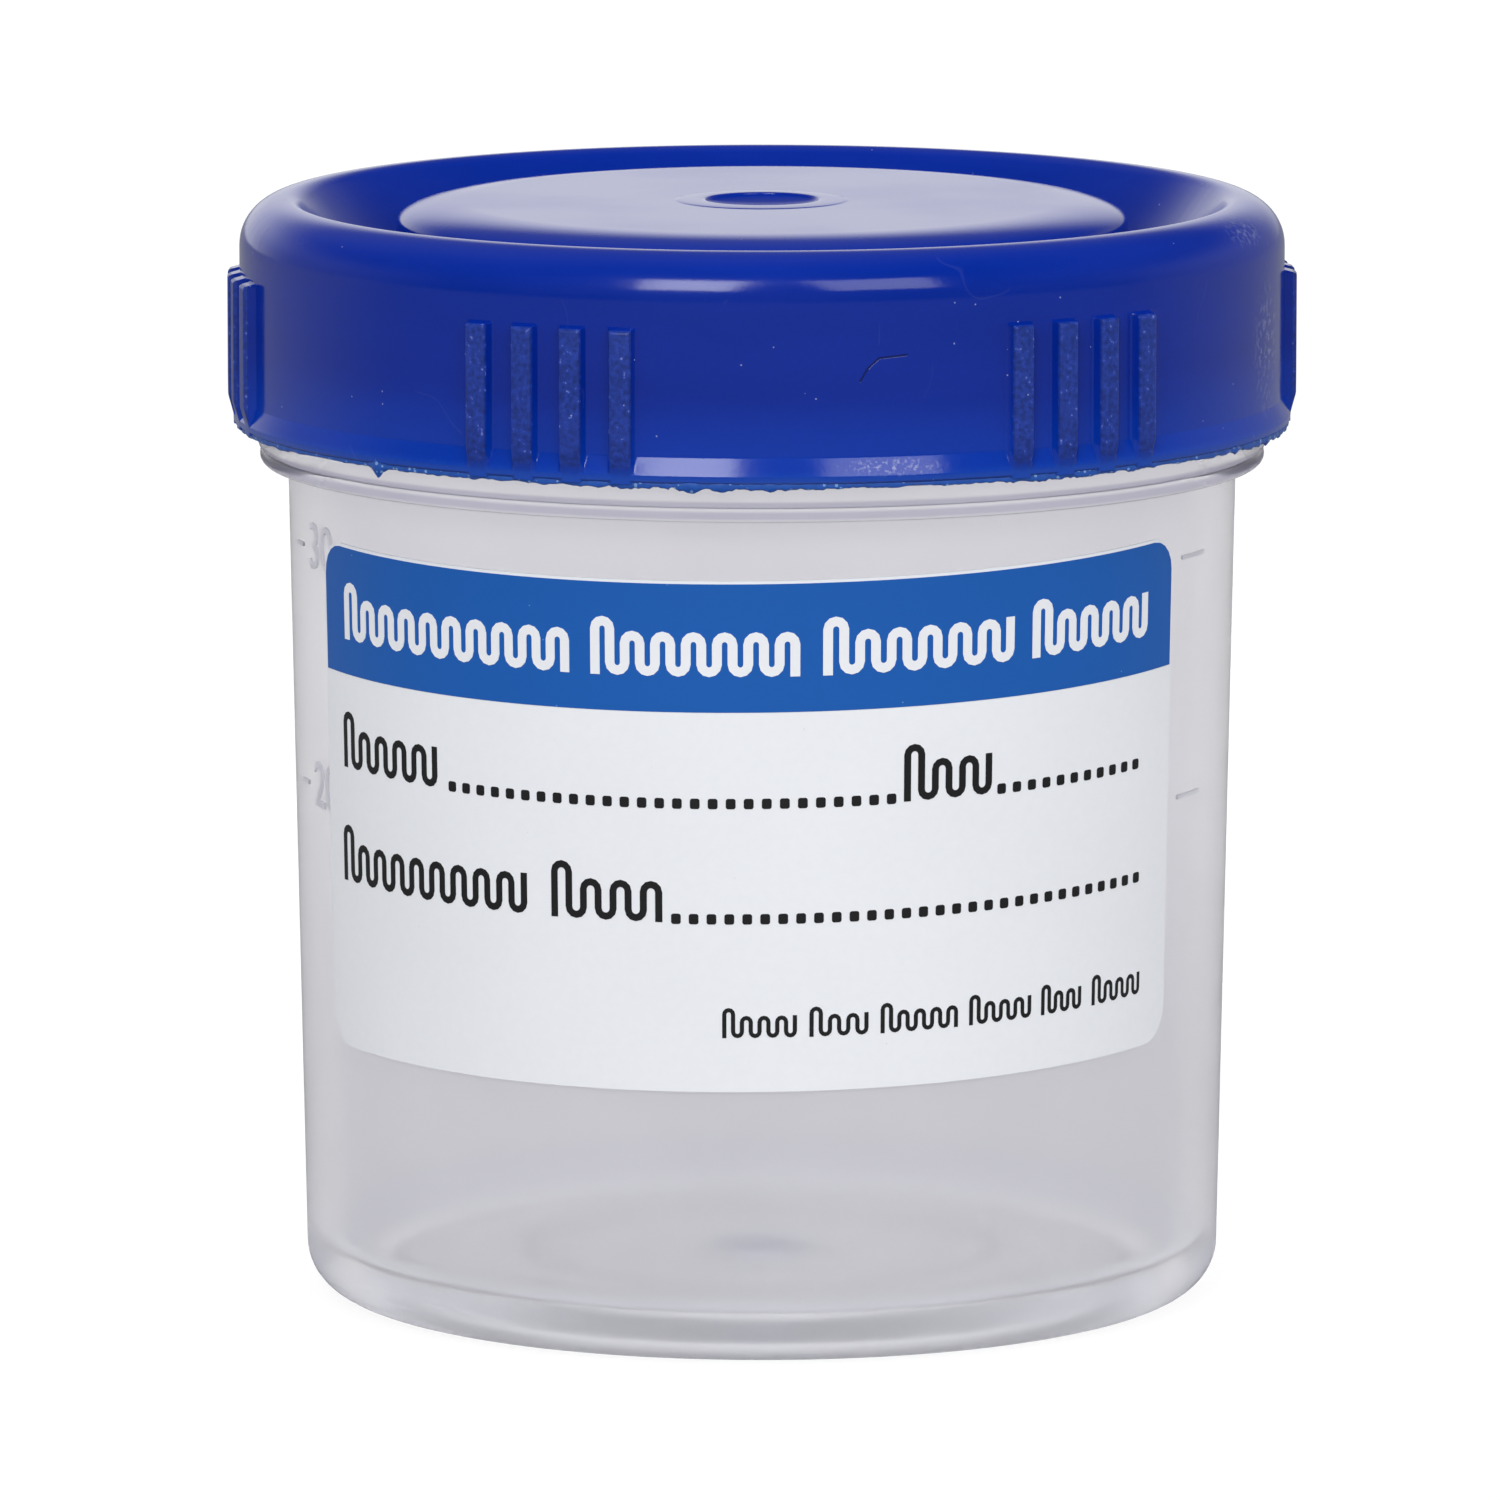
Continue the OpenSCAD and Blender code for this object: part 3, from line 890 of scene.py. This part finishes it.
def along(stops, value):
    """Reads a list of (place, height) stops at a place between them."""
    for (start, low), (end, high) in zip(stops, stops[1:]):
        if value <= end:
            return low + (high - low) * max(0.0, value - start) / (end - start)
    return stops[-1][1]


def rib(z, angle):
    """How far a rib stands out of the skirt at this height and angle."""
    off = min(abs((angle - stand + 180) % 360 - 180) for stand in rib_angles)
    if z < RIB_FOOT - TINY:
        return 0.0
    sunk = (1 - FLARE_OUT / RIB_OUT) * (1 - smooth((z - RIB_FADE_LOW) / (RIB_FADE_HIGH - RIB_FADE_LOW)))
    across = along(RIB_ACROSS, math.radians(off) * SKIRT_R)
    return RIB_OUT * (1 - sunk) * min(across, along(RIB_END, RIB_TOP - z))

# %% Outline of the cap's top
GROOVE_Z = CAP_TOP - GROOVE_H
flank_run = CREST_R - GROOVE_R + GROOVE_ROUND
flank_rise = GROOVE_H - GROOVE_ROUND - LIP_ROUND
flank = math.degrees(math.atan2(flank_rise, flank_run)
                     + math.asin((GROOVE_ROUND + LIP_ROUND) / math.hypot(flank_run, flank_rise)))
top = (arc(0, DISC_Z, DIMPLE_R, DIMPLE_H, -90, 0, steps=12)
       + arc(DIMPLE_R + LIP_IN_W, DISC_Z, LIP_IN_W, LIP_H, 180, 90, steps=6)
       + arc(DIMPLE_R + LIP_IN_W, DISC_Z, LIP_OUT_W, LIP_H, 90, 0, steps=6)
       + arc(DISC_R - DISC_EDGE_W, DISC_Z - DISC_EDGE_H, DISC_EDGE_W, DISC_EDGE_H, 90, 0, steps=18)
       + arc(DISC_R + GROOVE_ROUND, GROOVE_Z + GROOVE_ROUND, GROOVE_ROUND, GROOVE_ROUND, 180, 270)
       + arc(GROOVE_R - GROOVE_ROUND, GROOVE_Z + GROOVE_ROUND, GROOVE_ROUND, GROOVE_ROUND, -90, flank - 90)
       + arc(CREST_R, CAP_TOP - LIP_ROUND, LIP_ROUND, LIP_ROUND, flank + 90, 90, steps=14)
       + arc(CREST_R, CAP_TOP - SHOULDER_ROUND, SHOULDER_ROUND, SHOULDER_ROUND, 90, 0, steps=16))
print("rim flank", round(flank, 1), "degrees")

# %% [markdown]
# The skirt needs a row of points wherever a rib, the flare or the bevel starts or ends, and a second
# one close by that keeps the bend tight.

# %% Rows of the skirt
FOOT_R = SKIRT_R + FLARE_OUT
FLARE_FOOT = CAP_FOOT + FLARE_BAND
BEVEL_TOP = CAP_FOOT + SKIRT_BEVEL
ROW_GAP = 0.03
FLARE_GAP = 0.04
RIB_FOOT_GAP = 0.01
PLAIN_ROWS = 6
PLAIN_TOP = RIB_TOP - 0.9
PLAIN_FOOT = FLARE_FOOT + FLARE_H + 0.1

rib_rows = [RIB_TOP + ROW_GAP] + [RIB_TOP - drop for drop, _ in RIB_END]
plain_rows = [PLAIN_TOP - i * (PLAIN_TOP - PLAIN_FOOT) / (PLAIN_ROWS - 1) for i in range(PLAIN_ROWS)]
flare_rows = [FLARE_FOOT + rise for rise in (
    FLARE_H + FLARE_GAP, FLARE_H, FLARE_H - FLARE_GAP, FLARE_H / 2, FLARE_GAP, 0.0, -FLARE_GAP)]
foot_rows = [BEVEL_TOP + ROW_GAP, BEVEL_TOP, BEVEL_TOP - ROW_GAP, RIB_FOOT, RIB_FOOT - RIB_FOOT_GAP]


def skirt_base(z):
    """Radius of the skirt without its ribs: straight, then the flare, the band and the bevel."""
    flare = FLARE_OUT * max(0.0, min(1.0, (FLARE_FOOT + FLARE_H - z) / FLARE_H))
    return SKIRT_R + flare - max(0.0, BEVEL_TOP - z)


skirt = [(skirt_base(z), z) for z in rib_rows + plain_rows + flare_rows + foot_rows]
print("skirt of", len(skirt), "rows")

# %% Build the cap
edge = [(FOOT_R - SKIRT_BEVEL, CAP_FOOT), (SKIRT_IN_R + SKIRT_BEVEL, CAP_FOOT)]
inner = [(SKIRT_IN_R, BEVEL_TOP), (SKIRT_IN_R, CAP_CEILING - GROOVE_ROUND)]
plug = [(SKIRT_IN_R - GROOVE_ROUND, CAP_CEILING), (PLUG_R, CAP_CEILING), (PLUG_R, PLUG_Z + PLUG_BEVEL),
        (PLUG_R - PLUG_BEVEL, PLUG_Z), (HOLLOW_R, PLUG_Z), (HOLLOW_R, DISC_Z - DISC_T - GROOVE_ROUND),
        (HOLLOW_R - GROOVE_ROUND, DISC_Z - DISC_T), (0, DISC_Z - DISC_T)]
cap_outline = (filled(top, CAP_STEP) + skirt + edge + filled(inner, CAP_THREAD_STEP)
               + filled(inner[-1:] + plug, CAP_STEP)[1:])


def cap_shape(r, z, angle):
    """The radius with the ribs added outside and the thread inside."""
    if r > (SKIRT_R + SKIRT_IN_R) / 2 and CAP_FOOT < z < RIB_TOP:
        return max(r, SKIRT_R + rib(z, angle))
    if abs(r - SKIRT_IN_R) < TINY:
        return r - thread(z, angle - CAP_THREAD_TURN, CAP_THREAD_START, CAP_THREAD_DEPTH)
    return r


cap = turned("cap", cap_outline, rib_columns(PLAIN_SPACING), blue, cap_shape)
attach(cap, "cap")
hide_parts("screw_cap")

# %% [markdown]
# ## The flash
# Where the two halves of the mould met, a thread of plastic was squeezed out and torn off. It leaves
# a ragged paler line round the lower edge. It is a thin ring of its own, with its size driven by
# noise, because the ragged shape needs many more columns than the cap has. Each of the three noises
# has a mean, a swing and a grain.

# %% How much flash is left
BROAD = (0.55, 0.6, 0.12)
COARSE = (0.5, 0.6, 1.6)
FINE = (0.0, 0.35, 4.96)
FLASH_LEAST = 0.04
BURR_ANGLE = -135.5
BURR_SPREAD = 0.5
BURR_SIZE = 1.1


def flash_size(angle):
    """How much flash is left at this angle: from nearly 0 to 1, and more at the one burr."""
    turn = math.radians(angle)
    place = Vector((math.cos(turn), math.sin(turn), 0)) * SKIRT_R
    broad, coarse, small = (mean + swing * noise.noise(place * grain)
                            for mean, swing, grain in (BROAD, COARSE, FINE))
    burr = math.exp(-((angle - BURR_ANGLE + 180) % 360 - 180) ** 2 / BURR_SPREAD)
    return max(FLASH_LEAST, min(1.0, (coarse + small) * broad)) + BURR_SIZE * burr


print("flash in front", round(flash_size(-90), 2), "and at the burr", round(flash_size(BURR_ANGLE), 2))

# %% Build the flash
FLASH_COLUMNS = 900
FLASH_RING = 8
FLASH_CORE_W = 0.06
FLASH_CORE_H = 0.05
FLASH_OUT = 0.10
FLASH_DOWN = 0.36
FLASH_SEAT = 0.6

mid_r = FOOT_R - SKIRT_BEVEL * FLASH_SEAT
mid_z = CAP_FOOT + SKIRT_BEVEL * (1 - FLASH_SEAT)
flash_points, flash_faces = [], []
for i in range(FLASH_COLUMNS):
    angle = 360 * i / FLASH_COLUMNS - 180
    turn = math.radians(angle)
    size = flash_size(angle)
    for k in range(FLASH_RING):
        around = 2 * math.pi * k / FLASH_RING
        r = mid_r + (FLASH_CORE_W + FLASH_OUT * size) * math.cos(around)
        z = mid_z + (FLASH_CORE_H + FLASH_DOWN * size) * math.sin(around)
        flash_points.append((r * math.cos(turn) * MM, r * math.sin(turn) * MM, z * MM))
        here, there = i * FLASH_RING, (i + 1) % FLASH_COLUMNS * FLASH_RING
        flash_faces.append((here + k, there + k, there + (k + 1) % FLASH_RING, here + (k + 1) % FLASH_RING))
flash_mesh = bpy.data.meshes.new("cap_flash")
flash_mesh.from_pydata(flash_points, [], flash_faces)
flash = finish_mesh("cap_flash", flash_mesh, torn)
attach(flash, "cap")

# %% [markdown]
# # The label
# A sheet of paper wrapped round a cone. A Shrinkwrap modifier could press a flat sheet onto the wall,
# but the wall is a simple cone, so each point is placed by its distance along the paper and its
# height. A straight sheet on a cone that narrows downwards rises at both ends, so the label bows a
# little. The same helper makes the paper and all that is printed on it, as thin rounded patches.

# %% Helper: patches on the wall
LABEL_TURN = -4.2
LABEL_R = 19.24
LABEL_LEFT = -20.45
LABEL_RIGHT = 20.9
LABEL_LOW = 11.26
LABEL_HIGH = 31.84
LABEL_ROUND = 1.4
LABEL_TILT = 0.010
LABEL_BOW = 0.00103
PAPER_BACK = 0.05
PAPER_FRONT = 0.17


def on_wall(s, z, lift):
    """A point s millimetres round the wall from the label's middle, at height z, lift off the wall."""
    r = wall_r(z) + lift
    turn = math.radians(LABEL_TURN - 90) + s / LABEL_R
    return Vector((r * math.cos(turn), r * math.sin(turn), z)) * MM


def on_label(s, z, lift):
    """The same on the label, which was stuck on a little askew and bows upwards at its ends."""
    return on_wall(s, z + LABEL_TILT * s + LABEL_BOW * s * s, lift)


print("label", LABEL_RIGHT - LABEL_LEFT, "by", round(LABEL_HIGH - LABEL_LOW, 2), "mm")

# %% Helper: one patch
CORNER_STEPS = 5
PATCH_STEP = 0.8


def add_patch(work, left, right, low, high, corners, back, front, step=PATCH_STEP, place=on_label):
    """Adds a closed thin patch to a bmesh. corners are the roundings below and above."""
    rows = []
    for z, up, radius in ((low, 1, corners[0]), (high, -1, corners[1])):
        turns = [math.radians(90 * i / CORNER_STEPS) for i in range(CORNER_STEPS + 1)] if radius else [0.0]
        side = [(z + up * radius * (1 - math.cos(t)), radius * (1 - math.sin(t))) for t in turns]
        rows.extend(side if up > 0 else reversed(side))
    count = max(2, math.ceil((right - left) / step))
    sheets = []
    for lift in (front, back):
        grid = []
        for z, inset in rows:
            span = right - left - 2 * inset
            stops = [left + inset + span * i / count for i in range(count + 1)]
            grid.append([work.verts.new(place(s, z, lift)) for s in stops])
        sheets.append(grid)
    fronts, backs = sheets
    add_face = work.faces.new
    for j in range(len(rows) - 1):
        for i in range(count):
            add_face((fronts[j][i], fronts[j][i + 1], fronts[j + 1][i + 1], fronts[j + 1][i]))
            add_face((backs[j][i], backs[j + 1][i], backs[j + 1][i + 1], backs[j][i + 1]))
        add_face((fronts[j][0], fronts[j + 1][0], backs[j + 1][0], backs[j][0]))
        add_face((fronts[j][-1], backs[j][-1], backs[j + 1][-1], fronts[j + 1][-1]))
    for i in range(count):
        add_face((fronts[0][i], backs[0][i], backs[0][i + 1], fronts[0][i + 1]))
        add_face((fronts[-1][i], fronts[-1][i + 1], backs[-1][i + 1], backs[-1][i]))

# %% Build the paper
PAPER_STEP = 0.4


def patch_piece(name, build, material, body="container"):
    """Makes one piece out of the patches that build adds."""
    work = bmesh.new()
    build(work)
    mesh = bpy.data.meshes.new(name)
    work.to_mesh(mesh)
    work.free()
    piece = finish_mesh(name, mesh, material)
    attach(piece, body)
    return piece


def build_paper(work):
    """The bare label."""
    add_patch(work, LABEL_LEFT, LABEL_RIGHT, LABEL_LOW, LABEL_HIGH, (LABEL_ROUND, LABEL_ROUND),
              PAPER_BACK, PAPER_FRONT, PAPER_STEP)


label = patch_piece("label", build_paper, paper)
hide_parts("paper_label")

# %% [markdown]
# ## The print
# A blue band along the top, and fields to write in. The real words name a product and are left out.
# Plain winding lines as long as the words hold their places, and rows of dots mark where to write, so
# the label keeps its weight and rhythm. A line is given by its height and its two ends, and its style
# by the stroke, the distance of the turns, their usual height and that of the first.

# %% Print sizes
INK = 0.012
INK_LIFTS = (PAPER_FRONT - INK, PAPER_FRONT + INK)
BAND_LOW = 26.57
BAND_MARGIN = 0.12
HEADER = ((28.0, -18.7, -6.4), (28.0, -5.5, 2.9), (28.0, 3.8, 11.85), (28.0, 12.7, 19.1))
HEADER_LINE = (0.39, 0.62, 1.8, 2.35)
FIELDS = ((22.75, -19.0, -12.8), (22.75, 7.1, 10.9), (18.1, -19.2, -8.4), (18.1, -7.3, -2.6))
FIELD_LINE = (0.29, 0.60, 1.65, 2.3)
SMALL = ((13.45, -0.2, 2.8), (13.45, 3.3, 5.7), (13.45, 6.2, 9.5), (13.45, 10.0, 12.9), (13.45, 13.4, 15.5),
         (13.45, 16.1, 19.05))
SMALL_LINE = (0.17, 0.35, 0.9, 1.22)
TURN_STEPS = 6
DOT_ROWS = ((22.9, -12.0, 27), (22.9, 11.35, 11), (18.25, -2.05, 30))
DOT_PITCH = 0.715
DOT_W = 0.39
DOT_H = 0.42
print(len(HEADER + FIELDS + SMALL), "lines and", sum(count for *_, count in DOT_ROWS), "dots")

# %% Helpers: winding lines
def add_ribbon(work, points, width, middle):
    """A closed thin strip along points (s, z) on the label, with its middle so far off the wall."""
    rings = []
    low, high = middle - INK, middle + INK
    for i, (s, z) in enumerate(points):
        (s0, z0), (s1, z1) = points[max(i - 1, 0)], points[min(i + 1, len(points) - 1)]
        across = Vector((z0 - z1, s1 - s0)).normalized() * width / 2
        rings.append([work.verts.new(on_label(s + side * across.x, z + side * across.y, lift))
                      for side, lift in ((1, low), (1, high), (-1, high), (-1, low))])
    for one, two in zip(rings, rings[1:]):
        for k in range(4):
            work.faces.new((one[k], two[k], two[(k + 1) % 4], one[(k + 1) % 4]))
    work.faces.new(rings[0])
    work.faces.new(reversed(rings[-1]))


def add_words(work, words, line, middle=PAPER_FRONT):
    """A plain line that winds up and down in each word's place, as writing does, but spells nothing."""
    width, pitch, usual, tall = line
    for low, left, right in words:
        count = round((right - left - width) / pitch)
        turn_r = (right - left - width) / count / 2
        points = [(left + width / 2, low)]
        for i in range(count):
            s = left + width / 2 + (2 * i + 1) * turn_r
            high = low + (tall if i == 0 else usual)
            z = low + width / 2 + turn_r if i % 2 else high - width / 2 - turn_r
            points += arc(s, z, turn_r, turn_r, 180, 360 if i % 2 else 0, TURN_STEPS)
        points.append((right - width / 2, low + usual if count % 2 == 0 else low))
        add_ribbon(work, points, width, middle)

# %% Build the print
def build_band(work):
    """The blue band, square below and rounded above."""
    add_patch(work, LABEL_LEFT + BAND_MARGIN, LABEL_RIGHT - BAND_MARGIN, BAND_LOW, LABEL_HIGH - BAND_MARGIN,
              (0, LABEL_ROUND - BAND_MARGIN), *INK_LIFTS, PAPER_STEP)


def build_header(work):
    """White lines in the band."""
    add_words(work, HEADER, HEADER_LINE, PAPER_FRONT + INK)


def build_fields(work):
    """Dark lines in front of the dots, and the small line below."""
    add_words(work, FIELDS, FIELD_LINE)
    add_words(work, SMALL, SMALL_LINE)


def build_dots(work):
    """The dotted lines."""
    for z, first, count in DOT_ROWS:
        for i in range(count):
            s = first + i * DOT_PITCH
            add_patch(work, s - DOT_W / 2, s + DOT_W / 2, z - DOT_H / 2, z + DOT_H / 2,
                      (DOT_W / 4, DOT_W / 4), *INK_LIFTS)


patch_piece("label_band", build_band, blue_ink)
patch_piece("label_header_lines", build_header, white_ink)
patch_piece("label_field_lines", build_fields, black_ink)
patch_piece("label_dots", build_dots, black_ink)

# %% [markdown]
# # The volume marks
# Beside the label the cup has raised marks at 30 and 20, each a short line and a plain number.
# Blender's own font gives the numbers: a text object is turned into a mesh, and its flat points are
# then wrapped onto the wall.

# %% Build the volume marks
MARK_HEIGHTS = {"30": 31.42, "20": 21.65}
MARK_TICK = (-24.4, -23.4)
MARK_NUMBER = -22.6
MARK_SIZE = 2.7
MARK_STROKE = 0.16
MARK_RAISE = 0.08
MARK_SINK = 0.04
MARK_STEP = 0.3
RIGHT_TICK = (21.9, 24.0)
NUMBER_STEPS = 3
NUMBER_DEPTH = 1.0


def number_mesh(text):
    """The mesh of a number, flat, with its left end at the origin and its middle at height 0."""
    curve = bpy.data.curves.new("number_" + text, "FONT")
    curve.body = text
    curve.size = MARK_SIZE
    curve.align_y = "CENTER"
    curve.extrude = NUMBER_DEPTH
    curve.resolution_u = NUMBER_STEPS
    holder = add_object("number_" + text, curve)
    mesh = bpy.data.meshes.new_from_object(holder.evaluated_get(bpy.context.evaluated_depsgraph_get()))
    bpy.data.objects.remove(holder)
    bpy.data.curves.remove(curve)
    return mesh


def build_marks(work):
    """Lines and numbers beside the label, and short lines on its other side."""
    for text, z in MARK_HEIGHTS.items():
        for ends in (MARK_TICK, RIGHT_TICK):
            add_patch(work, *ends, z - MARK_STROKE / 2, z + MARK_STROKE / 2, (0, 0), -MARK_SINK, MARK_RAISE,
                      MARK_STEP, on_wall)
        mesh = number_mesh(text)
        known = len(work.verts)
        work.from_mesh(mesh)
        work.verts.ensure_lookup_table()
        for vert in work.verts[known:]:
            lift = MARK_RAISE if vert.co.z > 0 else -MARK_SINK
            vert.co = on_wall(MARK_NUMBER + vert.co.x, z + vert.co.y, lift)
        bpy.data.meshes.remove(mesh)


patch_piece("volume_marks", build_marks, shaded_marks)
